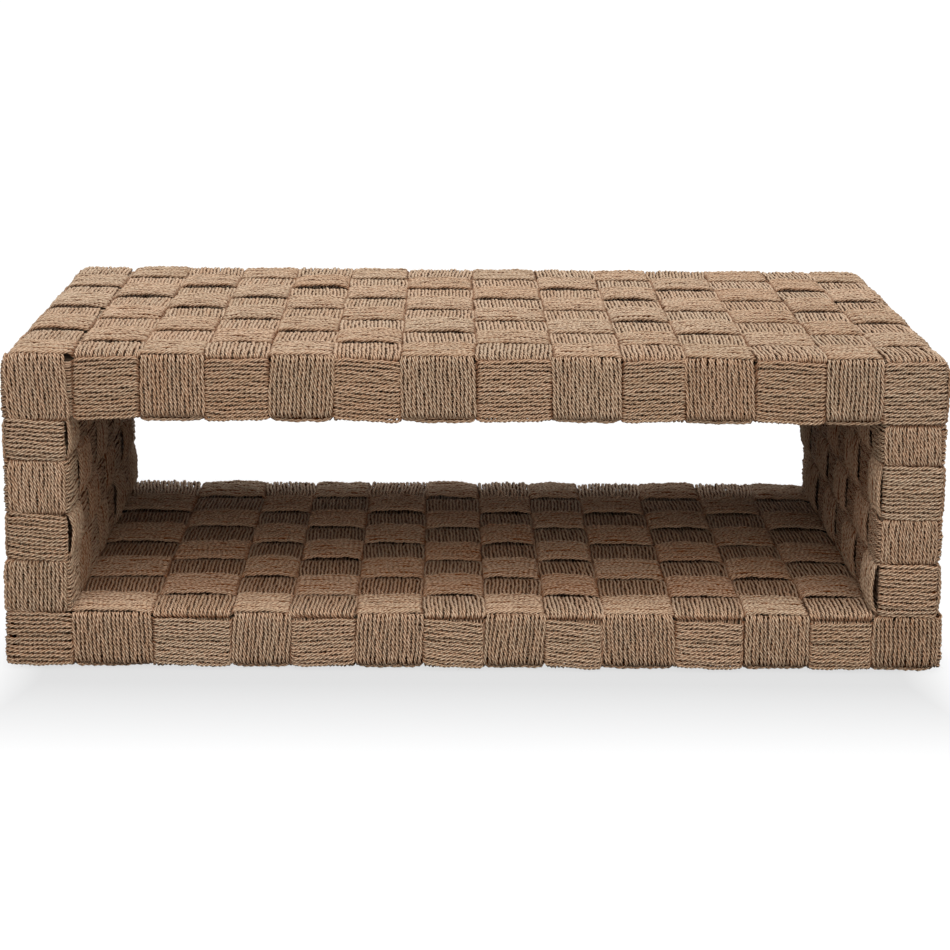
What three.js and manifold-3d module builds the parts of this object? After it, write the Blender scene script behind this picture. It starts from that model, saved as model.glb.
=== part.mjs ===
// Woven cord coffee table: a box tunnel, open at the front and the back.
// Millimetres, +X to the right, +Y to the back, +Z up, origin on the floor under the middle.
// Four core panels, housed into each other, carry 52 bands of twisted cord. Each band is a
// closed ring: across (round the table's width), along (front to back) or girth (level).
// Where two bands cross, one lies over the other, and which one changes at each crossing.

import * as THREE from "three";
import Module from "manifold-3d";
import { mergeVertices } from "three/addons/utils/BufferGeometryUtils.js";

const wasm = await Module();
wasm.setup();

// The finished table.
const tableWidth = 1220;
const tableDepth = 700;
const tableHeight = 424;
const topThickness = 92;
const baseThickness = 78;
const legThickness = 88;

// The weave: the bands' widths, uneven as a weaver leaves them, and the room between them.
// Columns are shared out from left to right, leg rows from top to bottom. The first and last
// column, and the first and last height row, are a leg's or a slab's own width.
const topColumnShares = [
  0.0875, 0.079, 0.079, 0.079, 0.083, 0.0926,
  0.0939, 0.0852, 0.0779, 0.0852, 0.0877, 0.07,
];
const baseColumnShares = [
  0.099, 0.0985, 0.0724, 0.0823, 0.0836, 0.0773,
  0.0748, 0.0736, 0.0898, 0.0873, 0.0811, 0.0803,
];
const legRowShares = [0.21, 0.285, 0.245, 0.26];
const columns = topColumnShares.length + 2;
const heightRows = legRowShares.length + 2;
const depthRows = 8;
const bandThickness = 4;
const layerClearance = 0.3;
const diveWidth = 8; // between two bands, where a third one dives from over to under
const diveRun = 5; // how far a band travels while it dives
const rowGapWidth = 5; // between two bands across
const edgeInset = 0.35 * bandThickness; // from a band's edge to where the panel begins to turn

// The core panels.
const topCornerRadius = 12;
const panelEdge = 1; // the eased edges, where a band turns sharply
const tongueThickness = 20;
const tongueDepth = 16;
const tongueSetback = 40; // from the panel's front and back, so no groove shows there
const jointClearance = 0.3;

// The nail-on glides.
const glideRise = 4;
const glideRadius = 11;
const glideEase = 1.2;
const nailRadius = 1.6;
const nailLength = 34;
const nailTip = 3;

// How finely round things are drawn.
const overrun = 2; // every cut runs past the face it opens by this
const topCornerSteps = 3;
const edgeSteps = 2;
const glideSides = 14;

// The three layers of the cover, measured outward from a core panel to a band's middle.
const layerStep = bandThickness + layerClearance;
const underLevel = layerClearance + bandThickness / 2;
const middleLevel = underLevel + layerStep;
const overLevel = middleLevel + layerStep;
const cover = 3 * layerStep;

// The faces of the core panels.
const coreSide = tableWidth / 2 - cover;
const coreFront = tableDepth / 2 - cover;
const tunnelCeiling = tableHeight - topThickness;
const tunnelFloor = glideRise + baseThickness;
const tunnelSide = tableWidth / 2 - legThickness;
const topCoreHigh = tableHeight - cover;
const topCoreLow = tunnelCeiling + cover;
const baseCoreHigh = tunnelFloor - cover;
const baseCoreLow = glideRise + cover;
const legCoreInner = tunnelSide + cover;

const cordColour = { across: 0xa38a72, along: 0x8c725a, girth: 0x8a6f57 };
const cordFinish = { roughness: 0.92, metalness: 0 };
const panelFinish = { color: 0x8d6a45, roughness: 0.8, metalness: 0 };
const glideFinish = { color: 0x2b2825, roughness: 0.5, metalness: 0 };

const even = (number) => number % 2 === 0;

// Lines between neighbouring cells of the checker, in the order that a ring meets them.
function sharedCuts(from, to, shares) {
  const total = shares.reduce((sum, share) => sum + share);
  const cuts = [from];
  shares.forEach((share) => cuts.push(cuts[cuts.length - 1] + ((to - from) * share) / total));
  return cuts;
}

const topColumnCuts = sharedCuts(-tunnelSide, tunnelSide, topColumnShares);
const baseColumnCuts = sharedCuts(-tunnelSide, tunnelSide, baseColumnShares);
const heightCuts = sharedCuts(tunnelCeiling, tunnelFloor, legRowShares);
const depthCuts = sharedCuts(-tableDepth / 2, tableDepth / 2, new Array(depthRows).fill(1));

// Which band lies over the other, cell by cell. Columns count from the left, depth rows
// from the front and height rows from the top, all from one.
const acrossOver = {
  top: (column, row) => even(column + row),
  right: (height, row) => even(columns + height + row),
  bottom: (column, row) => even(column + row + heightRows + 1),
  left: (height, row) => even(height + row + 1),
};
const alongOver = {
  front: (column, height) => even(column + height),
  back: (column, height) => even(column + height + depthRows + 1),
};

const levelOf = (over) => (over ? overLevel : underLevel);

// The four sides of a ring, clockwise: which way the band travels, and which way is out.
const ringSides = [
  { travel: new THREE.Vector2(1, 0), out: new THREE.Vector2(0, 1) },
  { travel: new THREE.Vector2(0, -1), out: new THREE.Vector2(1, 0) },
  { travel: new THREE.Vector2(-1, 0), out: new THREE.Vector2(0, -1) },
  { travel: new THREE.Vector2(0, 1), out: new THREE.Vector2(-1, 0) },
];

// One side that stays at a level for its whole length.
const plainSide = (level) => ({ cuts: [], levels: [level] });

// The middle line of a band round a core: low and high are the core's corners. Facing is 1
// for a band outside its core, and -1 for one that lines a tunnel. Sides gives the cuts and
// levels of the four sides in ringSides' order, and corners the radius and steps after each.
function ringPath({ low, high, facing, sides, corners }) {
  const cornerPoints = [
    new THREE.Vector2(high.x, high.y),
    new THREE.Vector2(high.x, low.y),
    new THREE.Vector2(low.x, low.y),
    new THREE.Vector2(low.x, high.y),
  ];
  const path = [];
  ringSides.forEach(({ travel, out }, index) => {
    const { cuts, levels } = sides[index];
    const corner = cornerPoints[index];
    const sidePoint = (place, level) => {
      const point = corner.clone().addScaledVector(out, facing * level);
      if (travel.x !== 0) point.x = place;
      else point.y = place;
      return point;
    };
    const forward = travel.x + travel.y;
    cuts.forEach((cut, step) => {
      path.push(sidePoint(cut - (forward * diveRun) / 2, levels[step]));
      path.push(sidePoint(cut + (forward * diveRun) / 2, levels[step + 1]));
    });
    const next = ringSides[(index + 1) % ringSides.length];
    const lastLevel = levels[levels.length - 1];
    const nextLevel = sides[(index + 1) % ringSides.length].levels[0];
    if (facing < 0) {
      const inside = corner.clone().addScaledVector(out, -lastLevel);
      path.push(inside.addScaledVector(next.out, -nextLevel));
      return;
    }
    const { radius, steps } = corners[index];
    const centre = corner.clone().addScaledVector(out, -radius).addScaledVector(next.out, -radius);
    for (let step = 0; step <= steps; step += 1) {
      const share = step / steps;
      const turn = (share * Math.PI) / 2;
      const reach = radius + lastLevel + (nextLevel - lastLevel) * share;
      const point = centre.clone().addScaledVector(out, reach * Math.cos(turn));
      path.push(point.addScaledVector(next.out, reach * Math.sin(turn)));
    }
  });
  return path;
}

// A closed path moved outward by a distance, with mitred corners.
function offsetPath(path, distance) {
  const outwardOf = (from, to) => {
    const along = to.clone().sub(from).normalize();
    return new THREE.Vector2(-along.y, along.x);
  };
  return path.map((point, index) => {
    const before = path[(index + path.length - 1) % path.length];
    const after = path[(index + 1) % path.length];
    const first = outwardOf(before, point);
    const second = outwardOf(point, after);
    const mitre = first.clone().add(second);
    return point.clone().addScaledVector(mitre, distance / (1 + first.dot(second)));
  });
}

// A band: the ring between two offsets of its path, extruded by the band's width. The path
// runs clockwise, and a shape's outline runs the other way round from its hole.
function bandGeometry(path, width) {
  const outline = new THREE.Shape(offsetPath(path, bandThickness / 2).reverse());
  outline.holes.push(new THREE.Path(offsetPath(path, -bandThickness / 2)));
  return new THREE.ExtrudeGeometry(outline, { depth: width, bevelEnabled: false, curveSegments: 1 });
}

function toSolid(geometry) {
  const bare = geometry.index ? geometry.toNonIndexed() : geometry.clone();
  bare.deleteAttribute("normal");
  bare.deleteAttribute("uv");
  const merged = mergeVertices(bare);
  return new wasm.Manifold(
    new wasm.Mesh({
      numProp: 3,
      vertProperties: merged.attributes.position.array,
      triVerts: Uint32Array.from(merged.index.array),
    }),
  );
}

function toGeometry(solid) {
  const { vertProperties, triVerts } = solid.getMesh();
  const geometry = new THREE.BufferGeometry();
  geometry.setAttribute("position", new THREE.BufferAttribute(vertProperties, 3));
  geometry.setIndex(new THREE.BufferAttribute(triVerts, 1));
  geometry.computeVertexNormals();
  return geometry;
}

function cutAway(geometry, cutters) {
  return toGeometry(cutters.reduce((left, cutter) => left.subtract(toSolid(cutter)), toSolid(geometry)));
}

function joined(geometry, additions) {
  return toGeometry(additions.reduce((whole, part) => whole.add(toSolid(part)), toSolid(geometry)));
}

function boxBetween(low, high) {
  const size = high.clone().sub(low);
  const middle = low.clone().add(high).multiplyScalar(1 / 2);
  return new THREE.BoxGeometry(size.x, size.y, size.z).translate(middle.x, middle.y, middle.z);
}

function namedMesh(name, geometry, finish) {
  const mesh = new THREE.Mesh(geometry, new THREE.MeshStandardMaterial(finish));
  mesh.name = name;
  return mesh;
}

// Groups whose local x and y are the plane of a ring, and whose z is the band's width.
// Across: x stays x, y becomes up, and z points to the front.
const acrossGroup = new THREE.Group();
acrossGroup.rotation.x = Math.PI / 2;
// Along: x points to the back, y becomes up, and z points to the right.
const alongGroup = new THREE.Group();
const alongTurn = new THREE.Matrix4().makeBasis(
  new THREE.Vector3(0, 1, 0),
  new THREE.Vector3(0, 0, 1),
  new THREE.Vector3(1, 0, 0),
);
alongGroup.quaternion.setFromRotationMatrix(alongTurn);
// Girth: level rings, with no turn.
const girthGroup = new THREE.Group();

const sharp = { radius: panelEdge, steps: edgeSteps };
const rounded = { radius: topCornerRadius, steps: topCornerSteps };
const allSharp = [sharp, sharp, sharp, sharp];

// Each side of a ring across, with its cells listed in the order that the band meets them.
function acrossSide(cuts, firstCell, lastCell, isOver) {
  const step = Math.sign(lastCell - firstCell);
  const levels = cuts.map((_, index) => levelOf(isOver(firstCell + step * index)));
  levels.push(levelOf(isOver(lastCell)));
  return { cuts, levels };
}

const backward = (cuts) => cuts.slice().reverse();

// Round the top, the right side, the underside and the left side.
function outerAcrossPath(row) {
  return ringPath({
    low: new THREE.Vector2(-coreSide, baseCoreLow),
    high: new THREE.Vector2(coreSide, topCoreHigh),
    facing: 1,
    corners: [rounded, sharp, sharp, rounded],
    sides: [
      acrossSide(topColumnCuts, 1, columns, (column) => acrossOver.top(column, row)),
      acrossSide(heightCuts, 1, heightRows, (height) => acrossOver.right(height, row)),
      acrossSide(backward(baseColumnCuts), columns, 1, (column) => acrossOver.bottom(column, row)),
      acrossSide(backward(heightCuts), heightRows, 1, (height) => acrossOver.left(height, row)),
    ],
  });
}

// Round the tunnel: its ceiling, right wall, floor and left wall.
function innerAcrossPath(row) {
  const inner = (cuts) => cuts.slice(1, -1);
  const lastColumn = columns - 1;
  const lastHeight = heightRows - 1;
  return ringPath({
    low: new THREE.Vector2(-legCoreInner, baseCoreHigh),
    high: new THREE.Vector2(legCoreInner, topCoreLow),
    facing: -1,
    sides: [
      acrossSide(inner(topColumnCuts), 2, lastColumn, (column) => acrossOver.top(column, row)),
      acrossSide(inner(heightCuts), 2, lastHeight, (height) => acrossOver.right(height, row)),
      acrossSide(inner(backward(baseColumnCuts)), lastColumn, 2, (column) => acrossOver.bottom(column, row)),
      acrossSide(inner(backward(heightCuts)), lastHeight, 2, (height) => acrossOver.left(height, row)),
    ],
  });
}

// The front and back limits of a band across. The end rows stop where the panels turn.
function depthSpan(row) {
  const limit = coreFront - panelEdge - edgeInset;
  const front = row === 1 ? -limit : depthCuts[row - 1] + rowGapWidth / 2;
  const back = row === depthRows ? limit : depthCuts[row] - rowGapWidth / 2;
  return { low: front, high: back };
}

function addAcrossBands() {
  for (let row = 1; row <= depthRows; row += 1) {
    const { low, high } = depthSpan(row);
    const rings = { outer: outerAcrossPath(row), inner: innerAcrossPath(row) };
    for (const [place, path] of Object.entries(rings)) {
      const finish = { color: cordColour.across, ...cordFinish };
      const band = namedMesh(`${place}_across_band_${row}`, bandGeometry(path, high - low), finish);
      band.position.z = -high;
      acrossGroup.add(band);
    }
  }
}

// A band along, round one slab: level on its faces, over or under the girth band at its edges.
function slabPath(low, high, column, height) {
  return ringPath({
    low: new THREE.Vector2(-coreFront, low),
    high: new THREE.Vector2(coreFront, high),
    facing: 1,
    corners: allSharp,
    sides: [
      plainSide(middleLevel),
      plainSide(levelOf(alongOver.back(column, height))),
      plainSide(middleLevel),
      plainSide(levelOf(alongOver.front(column, height))),
    ],
  });
}

function addSlabBands() {
  const slabs = [
    { slab: "top", low: topCoreLow, high: topCoreHigh, height: 1, cuts: topColumnCuts },
    { slab: "base", low: baseCoreLow, high: baseCoreHigh, height: heightRows, cuts: baseColumnCuts },
  ];
  for (const { slab, low, high, height, cuts } of slabs) {
    for (let column = 2; column < columns; column += 1) {
      const from = cuts[column - 2] + diveWidth / 2;
      const to = cuts[column - 1] - diveWidth / 2;
      const geometry = bandGeometry(slabPath(low, high, column, height), to - from);
      const finish = { color: cordColour.along, ...cordFinish };
      const band = namedMesh(`${slab}_slab_band_${column}`, geometry, finish);
      band.position.z = from;
      alongGroup.add(band);
    }
  }
}

// The first and last columns: rings round the whole end of the table, over a leg's front
// and back. Their outer edge draws in over the top, where the panel's corner is rounded.
function endBandPath(column) {
  const facingFront = backward(heightCuts);
  return ringPath({
    low: new THREE.Vector2(-coreFront, baseCoreLow),
    high: new THREE.Vector2(coreFront, topCoreHigh),
    facing: 1,
    corners: allSharp,
    sides: [
      plainSide(middleLevel),
      acrossSide(heightCuts, 1, heightRows, (height) => alongOver.back(column, height)),
      plainSide(middleLevel),
      acrossSide(facingFront, heightRows, 1, (height) => alongOver.front(column, height)),
    ],
  });
}

function addEndBands() {
  const near = legCoreInner + panelEdge + edgeInset;
  const far = coreSide - panelEdge - edgeInset;
  const drawnIn = coreSide - topCornerRadius - edgeInset;
  const width = far - near;
  const shoulder = topCoreHigh - topCornerRadius;
  const sides = { left: 1, right: columns };
  for (const [side, column] of Object.entries(sides)) {
    const onLeft = side === "left";
    const cutFrom = onLeft ? -overrun : drawnIn - near;
    const cutTo = onLeft ? far - drawnIn : width + overrun;
    const reach = tableDepth / 2 + overrun;
    const trim = boxBetween(
      new THREE.Vector3(-reach, shoulder, cutFrom),
      new THREE.Vector3(reach, tableHeight + overrun, cutTo),
    );
    const geometry = cutAway(bandGeometry(endBandPath(column), width), [trim]);
    const band = namedMesh(`${side}_end_band`, geometry, { color: cordColour.along, ...cordFinish });
    band.position.z = onLeft ? -far : near;
    alongGroup.add(band);
  }
}

// A level ring round a core whose plan runs from low to high.
function levelPath(low, high) {
  const sides = ringSides.map(() => plainSide(middleLevel));
  return ringPath({ low, high, facing: 1, corners: allSharp, sides });
}

// The girth bands run round the edge faces of the two slabs. The upper one draws in at the
// table's sides, where the bands across come over the rounded corner.
function addGirthBands() {
  const plan = levelPath(new THREE.Vector2(-coreSide, -coreFront), new THREE.Vector2(coreSide, coreFront));
  const ease = panelEdge + edgeInset;
  const finish = { color: cordColour.girth, ...cordFinish };

  const topLow = topCoreLow + ease;
  const topHigh = topCoreHigh - ease;
  const drawnIn = topCoreHigh - topCornerRadius - edgeInset;
  const shoulderTrim = (from, to) => {
    const low = new THREE.Vector3(from, -tableDepth / 2 - overrun, drawnIn - topLow);
    const high = new THREE.Vector3(to, tableDepth / 2 + overrun, topHigh - topLow + overrun);
    return boxBetween(low, high);
  };
  const shoulder = coreSide - topCornerRadius;
  const end = tableWidth / 2 + overrun;
  const trims = [shoulderTrim(-end, -shoulder), shoulderTrim(shoulder, end)];
  const topGeometry = cutAway(bandGeometry(plan, topHigh - topLow), trims);
  const topBand = namedMesh("top_girth_band", topGeometry, finish);
  topBand.position.z = topLow;

  const baseLow = baseCoreLow + ease;
  const baseBand = namedMesh("base_girth_band", bandGeometry(plan, baseCoreHigh - ease - baseLow), finish);
  baseBand.position.z = baseLow;
  girthGroup.add(topBand, baseBand);
}

function addLegBands() {
  const plans = {
    left: levelPath(new THREE.Vector2(-coreSide, -coreFront), new THREE.Vector2(-legCoreInner, coreFront)),
    right: levelPath(new THREE.Vector2(legCoreInner, -coreFront), new THREE.Vector2(coreSide, coreFront)),
  };
  for (let height = 2; height < heightRows; height += 1) {
    const high = heightCuts[height - 2] - diveWidth / 2;
    const low = heightCuts[height - 1] + diveWidth / 2;
    for (const [side, plan] of Object.entries(plans)) {
      const finish = { color: cordColour.girth, ...cordFinish };
      const band = namedMesh(`${side}_leg_band_${height}`, bandGeometry(plan, high - low), finish);
      band.position.z = low;
      girthGroup.add(band);
    }
  }
}

// A core panel: a profile in the table's front view, extruded from front to back with its
// edges eased. The across group turns it upright.
function panelGeometry(profile) {
  const depth = 2 * coreFront - 2 * panelEdge;
  const panel = new THREE.ExtrudeGeometry(profile, {
    depth,
    bevelEnabled: true,
    bevelThickness: panelEdge,
    bevelSize: panelEdge,
    bevelOffset: -panelEdge,
    bevelSegments: 1,
    curveSegments: topCornerSteps,
  });
  return panel.translate(0, 0, -depth / 2);
}

// Where the side panels' tongues enter the slabs, left and right.
const tongueMiddle = (legCoreInner + coreSide) / 2;
const tongueHalfLength = coreFront - tongueSetback;

function grooveBox(side, faceHeight, depthSign) {
  const half = tongueThickness / 2 + jointClearance;
  const bottom = faceHeight + depthSign * (tongueDepth + jointClearance);
  const mouth = faceHeight - depthSign * overrun;
  const length = tongueHalfLength + jointClearance;
  return boxBetween(
    new THREE.Vector3(side * tongueMiddle - half, Math.min(bottom, mouth), -length),
    new THREE.Vector3(side * tongueMiddle + half, Math.max(bottom, mouth), length),
  );
}

function topPanel() {
  const profile = new THREE.Shape();
  profile.moveTo(-coreSide, topCoreLow);
  profile.lineTo(coreSide, topCoreLow);
  profile.lineTo(coreSide, topCoreHigh - topCornerRadius);
  const centreHigh = topCoreHigh - topCornerRadius;
  profile.absarc(coreSide - topCornerRadius, centreHigh, topCornerRadius, 0, Math.PI / 2, false);
  profile.absarc(topCornerRadius - coreSide, centreHigh, topCornerRadius, Math.PI / 2, Math.PI, false);
  const grooves = [grooveBox(-1, topCoreLow, 1), grooveBox(1, topCoreLow, 1)];
  return namedMesh("top_core_panel", cutAway(panelGeometry(profile), grooves), panelFinish);
}

// The glides stand under the lines between the end columns and their neighbours, and
// between the end rows and theirs, where no band crosses the nail.
const glidePlaces = [
  { name: "front_left", x: -tunnelSide, row: 1 },
  { name: "front_right", x: tunnelSide, row: 1 },
  { name: "back_left", x: -tunnelSide, row: depthRows - 1 },
  { name: "back_right", x: tunnelSide, row: depthRows - 1 },
];

function nailHole({ x, row }) {
  const radius = nailRadius + jointClearance;
  const top = nailLength + jointClearance;
  const from = baseCoreLow - overrun;
  const hole = new THREE.CylinderGeometry(radius, radius, top - from, glideSides);
  return hole.translate(x, (top + from) / 2, -depthCuts[row]);
}

function basePanel() {
  const profile = new THREE.Shape();
  profile.moveTo(-coreSide, baseCoreHigh);
  profile.lineTo(-coreSide, baseCoreLow + panelEdge);
  profile.lineTo(panelEdge - coreSide, baseCoreLow);
  profile.lineTo(coreSide - panelEdge, baseCoreLow);
  profile.lineTo(coreSide, baseCoreLow + panelEdge);
  profile.lineTo(coreSide, baseCoreHigh);
  const cutters = [grooveBox(-1, baseCoreHigh, -1), grooveBox(1, baseCoreHigh, -1)];
  glidePlaces.forEach((place) => cutters.push(nailHole(place)));
  return namedMesh("base_core_panel", cutAway(panelGeometry(profile), cutters), panelFinish);
}

function sidePanel(name, side) {
  const low = baseCoreHigh + jointClearance;
  const high = topCoreLow - jointClearance;
  const inner = Math.min(side * legCoreInner, side * coreSide);
  const outer = Math.max(side * legCoreInner, side * coreSide);
  const profile = new THREE.Shape();
  profile.moveTo(inner, low);
  profile.lineTo(outer, low);
  profile.lineTo(outer, high);
  profile.lineTo(inner, high);
  const middle = side * tongueMiddle;
  const half = tongueThickness / 2;
  const tongue = boxBetween(
    new THREE.Vector3(middle - half, baseCoreHigh - tongueDepth, -tongueHalfLength),
    new THREE.Vector3(middle + half, topCoreLow + tongueDepth, tongueHalfLength),
  );
  return namedMesh(name, joined(panelGeometry(profile), [tongue]), panelFinish);
}

// A nail-on glide: a low button with its nail, turned round the nail's axis.
function glide({ name, x, row }) {
  const buttonTop = glideRise - layerClearance;
  const outline = [
    new THREE.Vector2(0, 0),
    new THREE.Vector2(glideRadius - glideEase, 0),
    new THREE.Vector2(glideRadius, glideEase),
    new THREE.Vector2(glideRadius, buttonTop),
    new THREE.Vector2(nailRadius, buttonTop),
    new THREE.Vector2(nailRadius, nailLength - nailTip),
    new THREE.Vector2(0, nailLength),
  ];
  const mesh = namedMesh(`glide_${name}`, new THREE.LatheGeometry(outline, glideSides), glideFinish);
  mesh.position.set(x, 0, -depthCuts[row]);
  return mesh;
}

addAcrossBands();
addSlabBands();
addEndBands();
addGirthBands();
addLegBands();
acrossGroup.add(topPanel(), basePanel());
acrossGroup.add(sidePanel("left_side_core_panel", -1), sidePanel("right_side_core_panel", 1));
glidePlaces.forEach((place) => acrossGroup.add(glide(place)));

const table = new THREE.Group();
table.add(acrossGroup, alongGroup, girthGroup);

export default table;
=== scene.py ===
"""A woven cord coffee table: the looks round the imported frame. Metres, +Z up.

Every band of the frame becomes a bundle of twisted three-ply cords that run round the same
core side by side, and go over and under the bands that cross them."""

import math
from dataclasses import dataclass, field

import bpy
import numpy as np
from mathutils import Euler, Matrix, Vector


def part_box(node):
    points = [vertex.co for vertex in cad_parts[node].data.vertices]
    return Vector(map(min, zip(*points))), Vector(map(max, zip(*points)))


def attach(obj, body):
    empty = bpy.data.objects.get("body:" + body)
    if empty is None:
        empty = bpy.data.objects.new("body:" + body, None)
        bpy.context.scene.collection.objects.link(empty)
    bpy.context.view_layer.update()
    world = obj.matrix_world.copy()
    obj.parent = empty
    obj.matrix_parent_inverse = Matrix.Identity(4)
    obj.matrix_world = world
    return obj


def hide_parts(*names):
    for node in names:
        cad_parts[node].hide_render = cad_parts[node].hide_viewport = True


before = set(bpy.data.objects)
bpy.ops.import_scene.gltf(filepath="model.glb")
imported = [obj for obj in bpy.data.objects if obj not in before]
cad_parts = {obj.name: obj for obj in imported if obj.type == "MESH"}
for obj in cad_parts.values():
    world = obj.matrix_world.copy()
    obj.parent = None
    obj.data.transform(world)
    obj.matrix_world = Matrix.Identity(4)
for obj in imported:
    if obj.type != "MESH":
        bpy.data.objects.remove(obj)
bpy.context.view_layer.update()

# The camera, at the photograph's viewing angle.
CAMERA_PLACE = (-0.044, -3.478, 1.032)
CAMERA_TILT = math.radians(11.6)
CAMERA_YAW = math.radians(-0.77)
CAMERA_ROLL = math.radians(0.55)
CAMERA_LENS = 94.75
CAMERA_SHIFT = -0.1
CAMERA_SENSOR = 36.0
CAMERA_REACH = 200.0

# The cord.
CORD_RADIUS = 0.00265
CORD_PITCH = 0.005
TWIST_LENGTH = 0.0205
PLIES = 3
SECTION_SIDES = 2 * PLIES  # a crest and a groove for each ply
GROOVE_SHARE = 0.55

# Painted shade between the cords and between blocks: how much of its own colour a cord shows, from none
# where it faces its neighbours
# to all of it where it faces out: the range of that turn, as the cosine of the angle to the way out.
GAP_SHADE_FACING = (-0.1, 0.8)
GAP_SHADE_TONE = 0.15  # how much it keeps where it goes down beside the next block
GAP_SHADE_SHARE = 0.07  # over how much of half a block that comes back
# The least of its own colour that a band's outermost cords keep through the painted shade on their free
# sides, for bands whose width lies along x, y and z.
EDGE_SHADE_TONES = (0.35, 0.8, 0.35)
# The range inside the tunnel, how far from its mouths it is reached, and how much less the
# outermost cords keep there. Inside the tunnel the painted shade is darker, to come nearer to the deep
# shade in the photograph.
TUNNEL_SHADE_FACING = (0.45, 1.15)
TUNNEL_SHADE_MOUTH = 0.1
TUNNEL_SHADE_EDGE_DROP = 0.35

# How much the tone differs by cord, along a cord, by block and by ply.
CORD_TONE = 0.5
DRIFT_TONE = 0.35
BLOCK_TONE = 0.6
PLY_TONE = 0.45
NOISE_ROOM = 900  # how far into the noise a band may start
NOISE_PITCH = 9  # how far apart neighbouring cords lie in it
MILLIMETRES = 1000

# How far apart a cord's rings of vertices are, by how well its face is seen.
NEAR_STEP = 0.0020
TUNNEL_STEP = 0.0024
SIDE_STEP = 0.0029
HIDDEN_STEP = 0.0040
LONGEST_EVEN_STEP = 0.0032  # beyond it the cord is twisted less, so that its plies stay round

# The weave, measured outward from a core panel to a cord's middle.
UNDER_LEVEL = 0.0028
OVER_LEVEL = 0.0082
LOW_LEVEL = 0.68  # the share of it where a band lies flatter
CROWN_RISE = 0.0008
ARCH_SPREAD = 0.0012
DIVE_LENGTH = 0.0062
LONG_DIVE = 0.024
CORNER_DIVE = 0.0060
CORNER_SHARE = 0.68  # how much of a tight corner the band that lies over goes round
CELL_DRAW = 0.0010  # how far before a cell's end its cords are halfway down
LONG_DRAW = 0.0040
SIDE_ROOM = 0.0032  # from a cell's side to the middle of its first cord
UNDER_SQUEEZE = 0.0015
EDGE_REACH = 0.0012  # how far a band's outermost cord reaches past the core's edge
LEG_REACH = 0.004
EDGE_DRAW = 0.002
CORE_TURN = 0.001
TUNNEL_TURN = 0.014

# How far the middle of a block rises over its ends, on each kind of face.
FACE_RISE = 0.0015
TOP_RISE = 0.0038
FLOOR_RISE = 0.0042
WALL_RISE = 0.0062
ALONG_RISE = 0.0014
END_ROW_SHARE = 0.35  # how much of it the first and last band across rise
ARCH_POWER = 3.2
SEEN_SHARE = 0.001  # how far a cord has come up where it starts to be modelled

# How uneven the weaving is.
BLOCK_LEAN = 0.0030
BLOCK_SHIFT = 0.0010
RISE_SPREAD = (0.4, 1.25)
CHANGE_SHIFT = 0.0008
DIVE_SPREAD = (0.85, 1.2)
CORD_WOBBLE = 0.00040
CORD_LIFT = 0.0004
RADIUS_SPREAD = 0.06
TWIST_SPREAD = 0.08
WOBBLE_LENGTHS = (0.11, 0.047, 0.023)
WOBBLE_SPREAD = (0.8, 1.25)

# Loose fibres that stand out of the cords.
FIBRES_PER_METRE = 36
FIBRE_LENGTHS = (0.003, 0.011)
FIBRE_RADIUS = 0.00011
FIBRE_FLOOR = 0.0004  # the lowest that a fibre goes
FIBRE_SIDES = 3
FIBRE_POINTS = 2 * FIBRE_SIDES + 1  # round its root, round its middle, and its tip
FIBRE_TAPER = 0.7  # how thick it still is in the middle
FIBRE_ROOT = 0.8  # how far from a cord's middle to its outside it starts
FIBRE_LEVEL = 0.6  # how far a cord has come up where fibres grow
FIBRE_TURN = 0.6
FIBRE_LIFT = (0.1, 0.9)
FIBRE_SWAY = 0.45
FIBRE_BEND = 0.5
FIBRE_SKEW = 0.01  # keeps the way out from lying along the fibre
FIBRE_LOOK = (0.5, 0.8)  # the middle and the spread of its tone
FIBRE_GRAIN = 3  # how far through the noise each half of it runs

# The texture map.
MAP_MARGIN = 0.04
MAP_LENGTH = 6  # how many times as long as round a cord's stretch is taken to be
FIBRE_MAP = ((0.2, 0.2), (0.8, 0.2), (0.5, 0.8))

SEED = 20
rng = np.random.default_rng(SEED)


def span(node):
    low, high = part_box(node)
    return np.array(low), np.array(high)


# The faces of the core panels.
top_low, top_high = span("top_core_panel")
base_low, base_high = span("base_core_panel")
CORE_SIDE, CORE_FRONT = float(top_high[0]), float(top_high[1])
LEG_INNER = float(span("right_side_core_panel")[0][0])
TOP_LOW, TOP_HIGH = float(top_low[2]), float(top_high[2])
BASE_LOW, BASE_HIGH = float(base_low[2]), float(base_high[2])
SHOULDER = 0.012  # the radius of the top panel's rounded upper edges
SHOULDER_TURN = math.radians(84)  # how far round them the cords go at most
SHOULDER_REACH = 0.0064  # how far the end bands' last cord reaches over one
GIRTH_DROP = 0.0074  # how far the top girth's lowest cord hangs below its core
GIRTH_RISE = 0.001  # how far its highest cord stands over the core, and on the sides
GIRTH_DRAW = 0.0041  # how far it stays below the core's upper face there
GIRTH_UNDER_SHARE = 0.75  # how much of the drop its cords keep under the blocks
BASE_GIRTH_DROP = 0.0084
BASE_SAG = 0.0028  # how far the cords hang below the base panel
BASE_SPREAD = 0.0060  # how far the base girth stands off at the sides
FOOT_REACH = 0.009  # how far past the core the end bands reach at the legs' feet
CORD_FLOOR = 0.0003  # the lowest that a cord goes
CEILING_LEVEL = 1.25  # the first and last bands across hang lower under the top slab
REAR_SHARE = 0.45  # how much of the floor's rise the last one has
LAST_ROW_LEVEL = 1.5  # the bands lie higher over the back edge of the tunnel's floor
ACROSS_AXES, ALONG_AXES, GIRTH_AXES = (0, 2, 1), (1, 2, 0), (0, 1, 2)


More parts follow.
